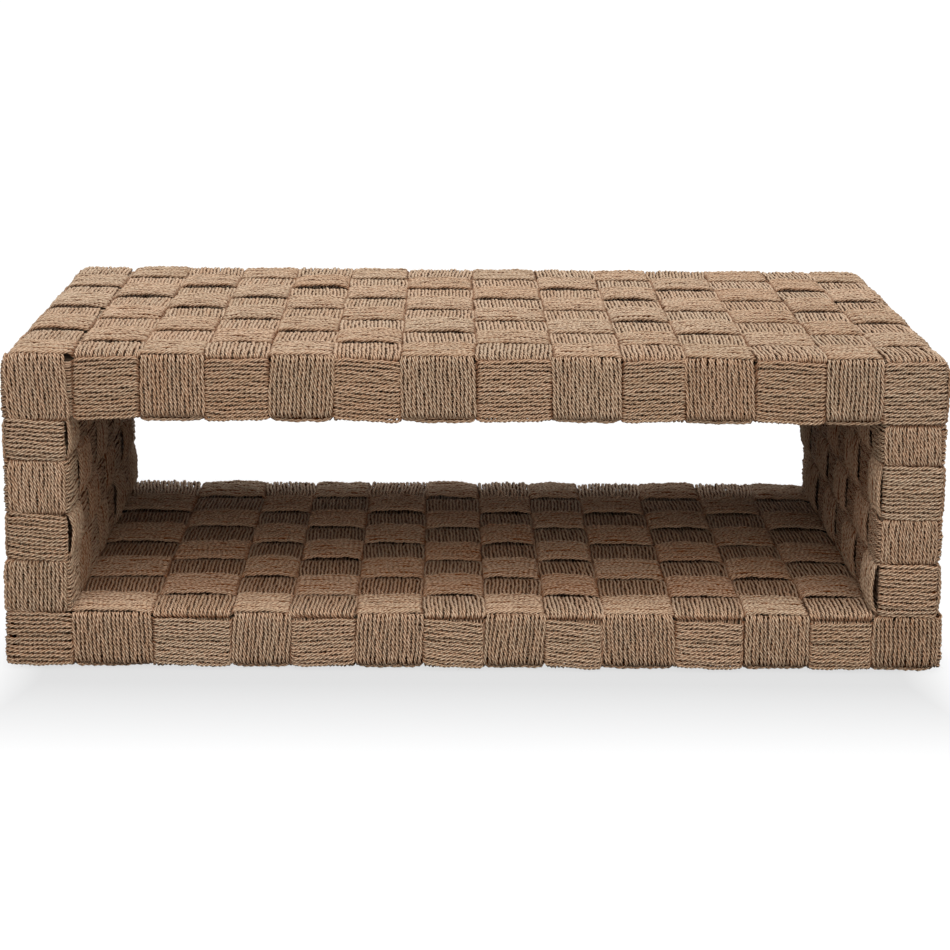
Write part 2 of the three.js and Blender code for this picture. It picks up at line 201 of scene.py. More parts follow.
def cuts_between(name, numbers, axis):
    """The lines between neighbouring bands, and half a gap outside the first and last."""
    spans = [span(name.format(number)) for number in numbers]
    lows = sorted(float(low[axis]) for low, _ in spans)
    highs = sorted(float(high[axis]) for _, high in spans)
    gap = lows[1] - highs[0]
    inner = [(high + low) / 2 for high, low in zip(highs, lows[1:])]
    return [lows[0] - gap / 2] + inner + [highs[-1] + gap / 2]


CORD_LOW = BASE_LOW - BASE_SAG
FOOT_DROP = 0.0055  # how far the legs' lowest blocks reach past the tunnel's floor
TOP_END_ROOM = 0.006  # how much wider the left end band is over the top
COLUMNS, DEPTH_ROWS, HEIGHT_ROWS = 14, 8, 6
TOP_CUTS = cuts_between("top_slab_band_{}", range(2, COLUMNS), 0)
BASE_CUTS = cuts_between("base_slab_band_{}", range(2, COLUMNS), 0)
LEG_CUTS = cuts_between("left_leg_band_{}", range(2, HEIGHT_ROWS), 2)
LEG_CUTS[0] -= FOOT_DROP
TOP_CUTS[0] += TOP_END_ROOM
DEPTH_CUTS = cuts_between("outer_across_band_{}", range(1, DEPTH_ROWS + 1), 1)[1:-1]


# Which band lies over the other at a crossing. Columns count from the left, depth rows from
# the front and height rows from the top, all from one.
def across_over(face, cell, row):
    """Whether a band across lies over the band that it crosses."""
    added = {"top": 0, "bottom": HEIGHT_ROWS + 1, "right": COLUMNS, "left": 1}[face]
    return (cell + row + added) % 2 == 0


def along_over(face, column, height):
    """Whether a slab or end band lies over a girth or leg band on the front or back."""
    added = {"front": 0, "back": DEPTH_ROWS + 1}[face]
    return (column + height + added) % 2 == 0


@dataclass
class Side:
    """One side of a ring: where it passes from cell to cell, and what it does in each."""

    cuts: list
    cells: list  # level, first and last cord across the band, and bent or not
    rise: float = FACE_RISE
    step: float = SIDE_STEP
    dive: float = DIVE_LENGTH
    draw: float = CELL_DRAW


@dataclass
class Ring:
    """A closed band round a core (facing 1), or lining a tunnel (facing -1)."""

    axes: tuple  # the two world axes of the ring's plane, and the one of the band's width
    low: tuple
    high: tuple
    sides: list
    facing: int = 1
    turns: list = field(default_factory=lambda: [CORE_TURN] * 4)
    shoulder: tuple = None  # where the rounded edge starts across the band, and its side


TRAVEL = np.array([(1, 0), (0, -1), (-1, 0), (0, 1)], float)
OUT = np.array([(0, 1), (1, 0), (0, -1), (-1, 0)], float)


def smooth(share):
    share = np.clip(share, 0, 1)
    return share * share * (3 - 2 * share)


def side_changes(side, start, axis):
    """Where the cords of one side are halfway up or down between its cells."""
    draws = [-side.draw if cell[0] else side.draw for cell in side.cells]
    return [abs(cut - start[axis]) + draw for cut, draw in zip(side.cuts, draws)]


def ring_path(ring):
    """Points right round a ring, the way out of the core there, and where its cells change."""
    low, high = np.array(ring.low), np.array(ring.high)
    corners = np.array([high, (high[0], low[1]), low, (low[0], high[1])])
    points, normals, places, changes, dives, travelled = [], [], [], [], [], 0.0
    for index, side in enumerate(ring.sides):
        start = corners[index - 1] + TRAVEL[index] * ring.turns[index - 1]
        end = corners[index] - TRAVEL[index] * ring.turns[index]
        length = float(np.abs(end - start).sum())
        run = np.linspace(0, length, round(length / side.step) + 1)
        points.append(start + run[:, None] * TRAVEL[index])
        normals.append(np.repeat(ring.facing * OUT[index][None], len(run), 0))
        places.append(travelled + run)
        axis = int(TRAVEL[index][0] == 0)
        changes += [travelled + change for change in side_changes(side, start, axis)]
        dives += [side.dive] * len(side.cuts)
        travelled += length
        contour = ring.turns[index]
        tight = contour == CORE_TURN
        arc = (contour + ring.facing * OVER_LEVEL) * math.pi / 2
        count = max(4, round(arc / side.step))
        turn = np.arange(1, count)[:, None] / count * math.pi / 2
        out, out_after = OUT[index], OUT[(index + 1) % 4]
        outward = out * np.cos(turn) + out_after * np.sin(turn)
        points.append(corners[index] - contour * (out + out_after) + contour * outward)
        normals.append(ring.facing * outward)
        places.append(travelled + turn[:, 0] / (math.pi / 2) * arc)
        share = CORNER_SHARE if tight else 0.5
        changes.append(travelled + arc * (share if side.cells[-1][0] else 1 - share))
        dives.append(CORNER_DIVE if tight else side.dive)
        travelled += arc
    parts = [np.concatenate(part) for part in (points, normals, places)]
    return *parts, np.array(changes), np.array(dives), travelled


def ring_stations(ring):
    """What the band does at each point of its ring: its level, width, block and bend."""
    point, normal, place, changes, dives, total = ring_path(ring)
    cells = np.array([cell for side in ring.sides for cell in side.cells], float)
    rises = np.array([side.rise for side in ring.sides for _ in side.cells])
    number = len(cells)
    changes = changes + CHANGE_SHIFT * rng.uniform(-1, 1, number)
    dives = dives * rng.uniform(*DIVE_SPREAD, number)
    state = np.repeat(cells[:1], len(place), 0)
    for cell in range(number):
        share = smooth((place - changes[cell]) / dives[cell] + 0.5)
        if cell == number - 1:
            share = share + smooth((place - changes[cell] + total) / dives[cell] + 0.5) - 1
        state += (cells[(cell + 1) % number] - cells[cell]) * share[:, None]
    starts = np.concatenate([[changes[-1] - total], changes])
    spot = np.where(place >= changes[-1], place - total, place)
    block = np.searchsorted(starts, spot, side="right") - 1
    inside = (spot - starts[block]) / (starts[block + 1] - starts[block]) * 2 - 1
    rise = (rises * rng.uniform(*RISE_SPREAD, number))[block]
    row = {"point": point, "normal": normal, "block": block, "inside": inside, "rise": rise}
    row.update(level=state[:, 0], ends=state[:, 1:3], bent=state[:, 3])
    return row, number


def keep_seen(row):
    """Drops the stations inside under blocks, and starts the ring after such a stretch."""
    seen = row["level"] > SEEN_SHARE
    kept = seen | np.roll(seen, 1) | np.roll(seen, -1)
    first = int(np.flatnonzero(kept & ~np.roll(kept, 1))[0])
    order = np.roll(np.arange(len(kept)), -first)
    stretch = np.cumsum(~kept[order])[kept[order]]
    order = order[kept[order]]
    result = {name: values[order] for name, values in row.items()}
    result["stretch"] = np.unique(stretch, return_inverse=True)[1]
    return result


def wander(count, run, size):
    """A slow random wander along each of several cords."""
    total = np.zeros((count, len(run)))
    for length in WOBBLE_LENGTHS:
        phase = rng.uniform(0, 2 * math.pi, (count, 1))
        rate = 2 * math.pi / (length * rng.uniform(*WOBBLE_SPREAD, (count, 1)))
        total += np.sin(run[None, :] * rate + phase)
    return total * size


def bend_over_shoulder(ring, row, width, height):
    """Lays the cords past a rounded edge down along it."""
    start, side = ring.shoulder
    beyond = np.maximum(side * width - start, 0)
    turn = np.minimum(beyond / (SHOULDER + height), SHOULDER_TURN)
    bent_width = side * (start + (SHOULDER + height) * np.sin(turn))
    bent_height = (SHOULDER + height) * np.cos(turn) - SHOULDER
    share = row["bent"][None, :] * (beyond > 0)
    return width + (bent_width - width) * share, height + (bent_height - height) * share


def cord_lines(ring, row, blocks, count):
    """The middle line of each cord of a band, and the way out of the core along it."""
    level, inside, block = row["level"][None, :], row["inside"][None, :], row["block"]
    across = np.linspace(-1, 1, count)[:, None]
    arch = (1 - np.abs(inside) ** ARCH_POWER) * level
    lean = BLOCK_LEAN * rng.uniform(-1, 1, blocks)[block][None, :]
    shift = BLOCK_SHIFT * rng.uniform(-1, 1, blocks)[block][None, :]
    run = np.cumsum(np.linalg.norm(np.diff(row["point"], axis=0, prepend=row["point"][:1]), axis=1))
    middle, half = row["ends"].sum(1) / 2, (row["ends"][:, 1] - row["ends"][:, 0]) / 2
    width = middle + across * (half + ARCH_SPREAD * arch)
    width = width + (lean * inside + shift) * level + wander(count, run, CORD_WOBBLE)
    height = UNDER_LEVEL + (OVER_LEVEL - UNDER_LEVEL) * level + row["rise"] * arch
    height = height + CROWN_RISE * level * (1 - across**4)
    height = height + level * (rng.normal(0, CORD_LIFT, (count, 1)) + wander(count, run, CORD_LIFT))
    if ring.shoulder:
        width, height = bend_over_shoulder(ring, row, width, height)
    plane = row["point"][None] + row["normal"][None] * height[..., None]
    line = np.zeros((count, len(block), 3))
    outward = np.zeros_like(line)
    line[..., list(ring.axes)] = np.concatenate([plane, width[..., None]], -1)
    outward[..., list(ring.axes[:2])] = row["normal"][None]
    return line, outward


def unit(vectors):
    return vectors / np.maximum(np.linalg.norm(vectors, axis=-1, keepdims=True), 1e-12)


def store(mesh, name, values):
    attribute = mesh.attributes.new(name, "FLOAT_VECTOR", "POINT")
    attribute.data.foreach_set("vector", values.astype(np.float32).ravel())


def store_number(mesh, name, values):
    attribute = mesh.attributes.new(name, "FLOAT", "POINT")
    attribute.data.foreach_set("value", values.astype(np.float32).ravel())


def store_map(mesh, places):
    layer = mesh.uv_layers.new(name="OFBake")
    layer.data.foreach_set("uv", places.astype(np.float32).ravel())


def make_mesh(name, points, faces):
    """A smooth mesh of faces that all have as many corners."""
    mesh = bpy.data.meshes.new(name)
    mesh.vertices.add(points.size // 3)
    mesh.vertices.foreach_set("co", points.astype(np.float32).ravel())
    mesh.loops.add(faces.size)
    mesh.loops.foreach_set("vertex_index", faces.astype(np.int32).ravel())
    count, corners = faces.reshape(-1, faces.shape[-1]).shape
    mesh.polygons.add(count)
    mesh.polygons.foreach_set("loop_start", np.arange(count, dtype=np.int32) * corners)
    mesh.polygons.foreach_set("use_smooth", np.ones(count, bool))
    mesh.update()
    return mesh


def add_object(name, data):
    """An object in the scene with this mesh, lamp or lens."""
    made = bpy.data.objects.new(name, data)
    bpy.context.scene.collection.objects.link(made)
    return made


def add_map(mesh, count, row, run):
    """A texture map with one cell for each cord's stretch over a block."""
    stretch = row["stretch"]
    stretches = int(stretch.max()) + 1
    wide = max(1, round(math.sqrt(count * stretches / MAP_LENGTH)))
    tall = math.ceil(count * stretches / wide)
    first = np.full(stretches, np.inf)
    last = np.full(stretches, -np.inf)
    np.minimum.at(first, stretch, run)
    np.maximum.at(last, stretch, run)
    along = (run - first[stretch]) / (last - first)[stretch]
    ahead = np.where(np.roll(stretch, -1) == stretch, np.roll(along, -1), 1.0)
    cell = np.arange(count)[:, None] * stretches + stretch[None, :]
    left, bottom = (cell % wide) / wide, (cell // wide) / tall
    filled = 1 - 2 * MAP_MARGIN
    around = (MAP_MARGIN + filled * np.arange(SECTION_SIDES + 1) / SECTION_SIDES) / tall
    places = np.zeros((count, len(stretch), SECTION_SIDES, 4, 2))
    for corner, (way, turned) in enumerate([(along, 0), (along, 1), (ahead, 1), (ahead, 0)]):
        places[..., corner, 0] = (left + (MAP_MARGIN + filled * way) / wide)[..., None]
        places[..., corner, 1] = bottom[..., None] + around[turned : turned + SECTION_SIDES]
    store_map(mesh, places)


def tunnel_share(line):
    """How deep inside the tunnel each place lies, from none at its mouths, which sets how much of the
    tunnel's painted shade it gets.
    """
    beside = (LEG_INNER - np.abs(line[..., 0])) > 0
    between = (line[..., 2] > BASE_HIGH) & (line[..., 2] < TOP_LOW)
    return smooth((CORE_FRONT - np.abs(line[..., 1])) / TUNNEL_SHADE_MOUTH) * beside * between


def store_strand(mesh, run, turns, shares):
    """Untwisted coordinates in which the fibres run straight along the plies."""
    count, length = run.shape
    strand = np.zeros((count, length, SECTION_SIDES, 3))
    starts = (rng.uniform(0, NOISE_ROOM) + NOISE_PITCH * np.arange(count))[:, None, None]
    strand[..., 0] = np.cos(turns) * shares + starts
    strand[..., 1] = np.sin(turns) * shares
    strand[..., 2] = run[..., None] * MILLIMETRES
    store(mesh, "strand", strand)


def store_look(mesh, run, shares, row, blocks):
    """The tone and tint of each place, and whether it lies on a ply's crest."""
    count, length = run.shape
    look = np.zeros((count, length, SECTION_SIDES, 3))
    for channel in range(2):
        drift = rng.normal(0, CORD_TONE, (count, 1)) + wander(count, run[0], DRIFT_TONE)
        drift = drift + rng.normal(0, BLOCK_TONE, blocks)[row["block"]]
        plies = np.repeat(rng.normal(0, PLY_TONE, (count, 1, PLIES)), 2, axis=-1)
        look[..., channel] = drift[..., None] + plies
    look[..., 2] = shares == 1
    store(mesh, "look", look)


def store_open_side(mesh, line, angle, sideways, row, edge_shade_tone):
    """How much of its own colour each place of a band's cords shows: painted shade between the cords,
    beside the next block and deeper inside the tunnel.
    """
    shade = tunnel_share(line)[..., None, None]
    low, high = (mix * (1 - shade) + deep * shade for mix, deep in zip(GAP_SHADE_FACING, TUNNEL_SHADE_FACING))
    facing = np.clip((np.cos(angle) - low) / (high - low), 0, 1)
    edge_shade_tone = edge_shade_tone * (1 - TUNNEL_SHADE_EDGE_DROP * shade)
    facing[0] = np.where(sideways[0] < 0, np.maximum(facing[0], edge_shade_tone[0]), facing[0])
    facing[-1] = np.where(sideways[-1] > 0, np.maximum(facing[-1], edge_shade_tone[-1]), facing[-1])
    from_end = 1 - np.abs(row["inside"])
    facing = facing * np.interp(from_end, (0, GAP_SHADE_SHARE), (GAP_SHADE_TONE, 1))[:, None, None]
    store_number(mesh, "gap_shade_keep", facing)


def twisted_cords(name, line, outward, row, blocks, width_axis):
    """A piece of twisted three-ply cords along the given lines."""
    count, length = line.shape[:2]
    forward = unit(np.roll(line, -1, 1) - np.roll(line, 1, 1))
    lift = unit(outward - forward * (outward * forward).sum(-1, keepdims=True))
    beside = np.cross(forward, lift)
    step = np.linalg.norm(line - np.roll(line, 1, 1), axis=-1)
    step[:, row["stretch"] != np.roll(row["stretch"], 1)] = 0
    run = np.cumsum(step, 1)
    twist = TWIST_LENGTH * rng.normal(1, TWIST_SPREAD, (count, 1))
    twist = twist * np.maximum(1, step / LONGEST_EVEN_STEP)
    phase = rng.uniform(0, 2 * math.pi, (count, 1)) - np.cumsum(step / twist, 1) * 2 * math.pi
    turns = np.arange(SECTION_SIDES) * math.pi / PLIES
    shares = np.array([1, GROOVE_SHARE] * PLIES)
    radius = CORD_RADIUS * rng.normal(1, RADIUS_SPREAD, (count, 1, 1, 1)) * shares[:, None]
    angle = (phase[..., None] + turns)[..., None]
    around = lift[:, :, None] * np.cos(angle) + beside[:, :, None] * np.sin(angle)
    points = line[:, :, None] + around * radius
    points[..., 2] = np.maximum(points[..., 2], CORD_FLOOR)

    index = np.arange(points.size // 3).reshape(count, length, SECTION_SIDES)
    after = np.roll(index, -1, 1)
    faces = np.stack([index, np.roll(index, -1, 2), np.roll(after, -1, 2), after], -1)
    mesh = make_mesh(name, points, faces)
    store_strand(mesh, run, turns, shares)
    store_look(mesh, run, shares, row, blocks)
    sideways = around[..., width_axis, None]
    store_open_side(mesh, line, angle, sideways, row, EDGE_SHADE_TONES[width_axis])
    add_map(mesh, count, row, run[0])
    return add_object(name, mesh)


def up_from(first, last):
    return list(range(first, last + 1))


def down_to(first, last):
    return list(range(last, first - 1, -1))


def cell_widths(low, high):
    """Where the first and last cord run, over and under, in a cell between two cuts."""
    over = (low + SIDE_ROOM, high - SIDE_ROOM)
    return over, (over[0] + UNDER_SQUEEZE, over[1] - UNDER_SQUEEZE)


def make_cells(marks, widths, bent=False, level=1.0):
    """Cells that share their widths: the level, the cords' places, and bent or not."""
    over, under = widths
    return [(level * mark, *(over if mark else under), bent) for mark in marks]


def across_widths(row):
    edges = [-CORE_FRONT] + DEPTH_CUTS + [CORE_FRONT]
    over, under = cell_widths(edges[row - 1], edges[row])
    if row == 1:
        return (-CORE_FRONT - EDGE_REACH, over[1]), (-CORE_FRONT + EDGE_DRAW, under[1])
    if row == DEPTH_ROWS:
        return (over[0], CORE_FRONT + EDGE_REACH), (under[0], CORE_FRONT - EDGE_DRAW)
    return over, under


def row_share(row):
    return END_ROW_SHARE if row in (1, DEPTH_ROWS) else 1.0


def outer_across_ring(row):
    """Over the top, down the right side, back under the base and up the left side."""
    widths = across_widths(row)
    heights = LEG_CUTS[::-1]
    top = make_cells([across_over("top", n, row) for n in up_from(1, COLUMNS)], widths)
    right = make_cells([across_over("right", n, row) for n in up_from(1, HEIGHT_ROWS)], widths)
    bottom = make_cells([across_over("bottom", n, row) for n in down_to(1, COLUMNS)], widths)
    left = make_cells([across_over("left", n, row) for n in down_to(1, HEIGHT_ROWS)], widths)
    return Ring(
        ACROSS_AXES,
        (-CORE_SIDE, CORD_LOW),
        (CORE_SIDE, TOP_HIGH),
        [
            Side(TOP_CUTS, top, TOP_RISE * row_share(row), NEAR_STEP),
            Side(heights, right),
            Side(BASE_CUTS[::-1], bottom, step=HIDDEN_STEP),
            Side(heights[::-1], left),
        ],
        turns=[SHOULDER, CORE_TURN, CORE_TURN, SHOULDER],
    )


def inner_across_ring(row):
    """Along the tunnel's ceiling, down its right wall, back over its floor and up the left."""
    widths = across_widths(row)
    columns, heights = (2, COLUMNS - 1), (2, HEIGHT_ROWS - 1)
    cuts = LEG_CUTS[1:-1][::-1]
    floor_share = {1: END_ROW_SHARE, DEPTH_ROWS: REAR_SHARE}.get(row, 1.0)
    ceiling_level = CEILING_LEVEL if row in (1, DEPTH_ROWS) else 1.0
    marks = [across_over("top", n, row) for n in up_from(*columns)]
    ceiling = make_cells(marks, widths, level=ceiling_level)
    right = make_cells([across_over("right", n, row) for n in up_from(*heights)], widths)
    level = LAST_ROW_LEVEL if row == DEPTH_ROWS else 1.0
    marks = [across_over("bottom", n, row) for n in down_to(*columns)]
    floor = make_cells(marks, widths, level=level)
    left = make_cells([across_over("left", n, row) for n in down_to(*heights)], widths)
    return Ring(
        ACROSS_AXES,
        (-LEG_INNER, BASE_HIGH),
        (LEG_INNER, TOP_LOW),
        [
            Side(TOP_CUTS[1:-1], ceiling, FACE_RISE, HIDDEN_STEP),
            Side(cuts, right, WALL_RISE, TUNNEL_STEP),
            Side(BASE_CUTS[1:-1][::-1], floor, FLOOR_RISE * floor_share, TUNNEL_STEP),
            Side(cuts[::-1], left, WALL_RISE, TUNNEL_STEP),
        ],
        facing=-1,
        turns=[TUNNEL_TURN] * 4,
    )


def along_rows(face, column, widths, bent=False):
    """The cells of a band along a slab, lying flatter between its two ends."""
    marks = [not across_over(face, column, n) for n in up_from(1, DEPTH_ROWS)]
    ends = make_cells(marks, widths, bent)
    return ends[:1] + make_cells(marks[1:-1], widths, bent, LOW_LEVEL) + ends[-1:]


def slab_ring(column, part):
    """Round the top or base slab: over it to the back, down, under it to the front, and up."""
    top = part == "top"
    cuts, face, height = (TOP_CUTS, "top", 1) if top else (BASE_CUTS, "bottom", HEIGHT_ROWS)
    widths = cell_widths(cuts[column - 2], cuts[column - 1])
    low, high = (TOP_LOW, TOP_HIGH) if top else (CORD_LOW, BASE_HIGH)
    rows = along_rows(face, column, widths)
    under_rows = make_cells([cell[0] > 0 for cell in rows], widths)
    if not top:
        rows[-1] = (rows[-1][0] * LAST_ROW_LEVEL, *rows[-1][1:])
    back = make_cells([along_over("back", column, height)], widths)
    front = make_cells([along_over("front", column, height)], widths)
    step = NEAR_STEP if top else TUNNEL_STEP
    return Ring(
        ALONG_AXES,
        (-CORE_FRONT, low),
        (CORE_FRONT, high),
        [
            Side(DEPTH_CUTS, rows, ALONG_RISE, step, LONG_DIVE, LONG_DRAW),
            Side([], back),
            Side(DEPTH_CUTS[::-1], under_rows[::-1], step=HIDDEN_STEP),
            Side([], front, step=NEAR_STEP),
        ],
    )


def end_widths(side, inner, outer):
    """The end band's first and last cord on one side of the table, in rising order."""
    return tuple(sorted((side * inner, side * outer)))


def end_front_cells(side, column, face):
    """Cells of an end band down a leg: as wide as the leg, and wider beside the slabs."""
    under = end_widths(side, LEG_INNER + EDGE_DRAW, CORE_SIDE - EDGE_DRAW)
    cells = []
    for height in up_from(1, HEIGHT_ROWS):
        beside_slab = height in (1, HEIGHT_ROWS)
        inner = TOP_CUTS[-1] + SIDE_ROOM if beside_slab else LEG_INNER - LEG_REACH
        outer = CORE_SIDE + (EDGE_REACH if height < HEIGHT_ROWS - 1 else FOOT_REACH)
        over = end_widths(side, inner, outer)
        cells += make_cells([along_over(face, column, height)], (over, under))
    return cells


def end_ring(column):
    """Front to back round the whole table, over the fronts of both legs of one side."""
    side = 1 if column == COLUMNS else -1
    inner = TOP_CUTS[-1] + SIDE_ROOM
    under = end_widths(side, LEG_INNER + EDGE_DRAW, CORE_SIDE - EDGE_DRAW)
    top_widths = end_widths(side, inner, CORE_SIDE + SHOULDER_REACH), under
    bottom_widths = end_widths(side, inner, CORE_SIDE + EDGE_REACH), under
    heights = LEG_CUTS[::-1]
    top = along_rows("top", column, top_widths, True)
    bottom = along_rows("bottom", column, bottom_widths)[::-1]
    return Ring(
        ALONG_AXES,
        (-CORE_FRONT, CORD_LOW),
        (CORE_FRONT, TOP_HIGH),
        [
            Side(DEPTH_CUTS, top, ALONG_RISE, NEAR_STEP, LONG_DIVE, LONG_DRAW),
            Side(heights, end_front_cells(side, column, "back")),
            Side(DEPTH_CUTS[::-1], bottom, step=HIDDEN_STEP),
            Side(heights[::-1], end_front_cells(side, column, "front")[::-1], step=NEAR_STEP),
        ],
        shoulder=(CORE_SIDE - SHOULDER, side),
    )


def girth_ring(part):
    """Round the edge faces of the top or base slab: the back, right, front and left."""
    top = part == "top"
    height, cuts = (1, TOP_CUTS) if top else (HEIGHT_ROWS, BASE_CUTS)
    if top:
        under = TOP_LOW - GIRTH_UNDER_SHARE * GIRTH_DROP, TOP_HIGH - GIRTH_DRAW
        over = end_over = TOP_LOW - GIRTH_DROP, TOP_HIGH + GIRTH_RISE
        side_over = TOP_LOW - GIRTH_DROP, TOP_HIGH - GIRTH_DRAW
    else:
        under = BASE_LOW + EDGE_DRAW, BASE_HIGH - EDGE_DRAW
        over = BASE_LOW - BASE_GIRTH_DROP, BASE_HIGH - GIRTH_DRAW
        end_over = side_over = BASE_LOW - BASE_GIRTH_DROP, LEG_CUTS[0] - SIDE_ROOM
    rows = up_from(1, DEPTH_ROWS)

    def face_cells(face):
        marks = [not along_over(face, n, height) for n in up_from(1, COLUMNS)]
        ends = make_cells(marks, (end_over, under))
        return ends[:1] + make_cells(marks[1:-1], (over, under)) + ends[-1:]

    back, front = face_cells("back"), face_cells("front")[::-1]
    right_marks = [not across_over("right", height, n) for n in rows[::-1]]
    left_marks = [not across_over("left", height, n) for n in rows]
    side_widths = side_over, under
    right, left = (make_cells(marks, side_widths, top) for marks in (right_marks, left_marks))
    edge = CORE_SIDE if top else CORE_SIDE + BASE_SPREAD
    return Ring(
        GIRTH_AXES,
        (-edge, -CORE_FRONT),
        (edge, CORE_FRONT),
        [
            Side(cuts, back),
            Side(DEPTH_CUTS[::-1], right),
            Side(cuts[::-1], front, step=NEAR_STEP),
            Side(DEPTH_CUTS, left),
        ],
        shoulder=(TOP_HIGH - SHOULDER, 1) if top else None,
    )


def leg_ring(side, height):
    """Round one leg: its back, right face, front and left face."""
    column = COLUMNS if side == "right" else 1
    low, high = (LEG_INNER, CORE_SIDE) if side == "right" else (-CORE_SIDE, -LEG_INNER)
    widths = cell_widths(LEG_CUTS[HEIGHT_ROWS - 1 - height], LEG_CUTS[HEIGHT_ROWS - height])
    rows = make_cells([not across_over(side, height, n) for n in up_from(1, DEPTH_ROWS)], widths)
    back = make_cells([not along_over("back", column, height)], widths)
    front = make_cells([not along_over("front", column, height)], widths)
    right_step, left_step = (SIDE_STEP, TUNNEL_STEP) if side == "right" else (TUNNEL_STEP, SIDE_STEP)
    return Ring(
        GIRTH_AXES,
        (low, -CORE_FRONT),
        (high, CORE_FRONT),
        [
            Side([], back),
            Side(DEPTH_CUTS[::-1], rows[::-1], step=right_step),
            Side([], front, step=NEAR_STEP),
            Side(DEPTH_CUTS, rows, step=left_step),
        ],
    )


def all_rings():
    """Every band: its piece's name, the frame node that it stands for, and its ring."""
    rings = []
    for row in up_from(1, DEPTH_ROWS):
        rings.append((f"outer_across_cords_{row}", f"outer_across_band_{row}", outer_across_ring(row)))
        rings.append((f"inner_across_cords_{row}", f"inner_across_band_{row}", inner_across_ring(row)))
    for part in ("top", "base"):
        for column in up_from(2, COLUMNS - 1):
            ring = slab_ring(column, part)
            rings.append((f"{part}_slab_cords_{column}", f"{part}_slab_band_{column}", ring))
        rings.append((f"{part}_girth_cords", f"{part}_girth_band", girth_ring(part)))
    for side, column in (("left", 1), ("right", COLUMNS)):
        rings.append((f"{side}_end_cords", f"{side}_end_band", end_ring(column)))
        for height in up_from(2, HEIGHT_ROWS - 1):
            ring = leg_ring(side, height)
            rings.append((f"{side}_leg_cords_{height}", f"{side}_leg_band_{height}", ring))
    return rings


def pick_fibres(line, outward, row):
    """Roots and directions of the loose fibres of one band."""
    count, length = line.shape[:2]
    high = row["level"] > FIBRE_LEVEL
    risen = np.flatnonzero(high & np.roll(high, -1))
    step = np.linalg.norm(line[0, risen] - line[0, risen - 1], axis=-1)
    number = round(float(np.minimum(step, SIDE_STEP).sum()) * count * FIBRES_PER_METRE)
    cord = rng.integers(0, count, number)
    station = rng.choice(risen, number)
    forward = unit(line[cord, (station + 1) % length] - line[cord, station])
    lift = outward[cord, station]
    beside = np.cross(forward, lift)
    turn = rng.normal(0, FIBRE_TURN, (number, 1))
    out = lift * np.cos(turn) + beside * np.sin(turn)
    root = line[cord, station] + out * CORD_RADIUS * FIBRE_ROOT
    way = forward * rng.choice([-1, 1], (number, 1)) + out * rng.uniform(*FIBRE_LIFT, (number, 1))
    way = unit(way + beside * rng.normal(0, FIBRE_SWAY, (number, 1)))
    return root, way, out


def fibre_piece(name, picked):
    """Thin tapered needles, each with one soft bend."""
    root, way, out = (np.concatenate(part) for part in zip(*picked))
    number = len(root)
    length = rng.uniform(*FIBRE_LENGTHS, (number, 1))
    bend = way + out * rng.normal(0, FIBRE_BEND, (number, 1))
    bend = unit(bend + np.cross(way, out) * rng.normal(0, FIBRE_BEND, (number, 1)))
    middle = root + way * length / 2
    tip = middle + bend * length / 2
    first = unit(np.cross(way, out + FIBRE_SKEW))
    second = np.cross(way, first)
    angles = np.arange(FIBRE_SIDES) * 2 * math.pi / FIBRE_SIDES
    circle = first[:, None] * np.cos(angles)[:, None] + second[:, None] * np.sin(angles)[:, None]
    thick = root[:, None] + circle * FIBRE_RADIUS
    thin = middle[:, None] + circle * FIBRE_RADIUS * FIBRE_TAPER
    points = np.concatenate([thick, thin, tip[:, None]], 1)
    points[..., 2] = np.maximum(points[..., 2], FIBRE_FLOOR)
    faces = []
    for k in range(FIBRE_SIDES):
        n = (k + 1) % FIBRE_SIDES
        above, next_above = k + FIBRE_SIDES, n + FIBRE_SIDES
        faces += [(k, n, next_above), (k, next_above, above), (above, next_above, 2 * FIBRE_SIDES)]
    faces = np.array(faces)[None] + FIBRE_POINTS * np.arange(number)[:, None, None]
    mesh = make_mesh(name, points, faces)
    strand = np.zeros((number, FIBRE_POINTS, 3))
    strand[..., 0] = rng.uniform(0, NOISE_ROOM, (number, 1))
    strand[..., 2] = np.arange(FIBRE_POINTS) // FIBRE_SIDES * FIBRE_GRAIN
    store(mesh, "strand", strand)
    look = np.zeros((number, FIBRE_POINTS, 3))
    look[..., :2] = rng.normal(*FIBRE_LOOK, (number, 1, 2))
    look[..., 2] = 1
    store(mesh, "look", look)
    store_number(mesh, "gap_shade_keep", np.ones(number * FIBRE_POINTS))
    wide = math.ceil(math.sqrt(number))
    cell = np.arange(number)
    spot = np.stack([cell % wide, cell // wide], -1) / wide
    corner = np.array(FIBRE_MAP) / wide
    store_map(mesh, np.broadcast_to(spot[:, None, None] + corner, (number, 3 * FIBRE_SIDES, 3, 2)))
    return add_object(name, mesh)


def new_material(name):
    material = bpy.data.materials.new(name)
    material.use_nodes = True
    return material, material.node_tree.nodes, material.node_tree.links


def math_node(nodes, links, operation, first, second):
    node = nodes.new("ShaderNodeMath")
    node.operation = operation
    for socket, value in zip(node.inputs, (first, second)):
        if isinstance(value, bpy.types.NodeSocket):
            links.new(value, socket)
        else:
            socket.default_value = value
    return node.outputs[0]


def map_range(nodes, links, value, from_low, from_high, to_low, to_high):
    node = nodes.new("ShaderNodeMapRange")
    node.inputs["From Min"].default_value = from_low
    node.inputs["From Max"].default_value = from_high
    node.inputs["To Min"].default_value = to_low
    node.inputs["To Max"].default_value = to_high
    links.new(value, node.inputs["Value"])
    return node.outputs["Result"]


def noise(nodes, links, vector, scale, stretch, detail):
    mapping = nodes.new("ShaderNodeMapping")
    mapping.inputs["Scale"].default_value = stretch
    links.new(vector, mapping.inputs["Vector"])
    node = nodes.new("ShaderNodeTexNoise")
    node.inputs["Scale"].default_value = scale
    node.inputs["Detail"].default_value = detail
    links.new(mapping.outputs["Vector"], node.inputs["Vector"])
    return node.outputs["Fac"]


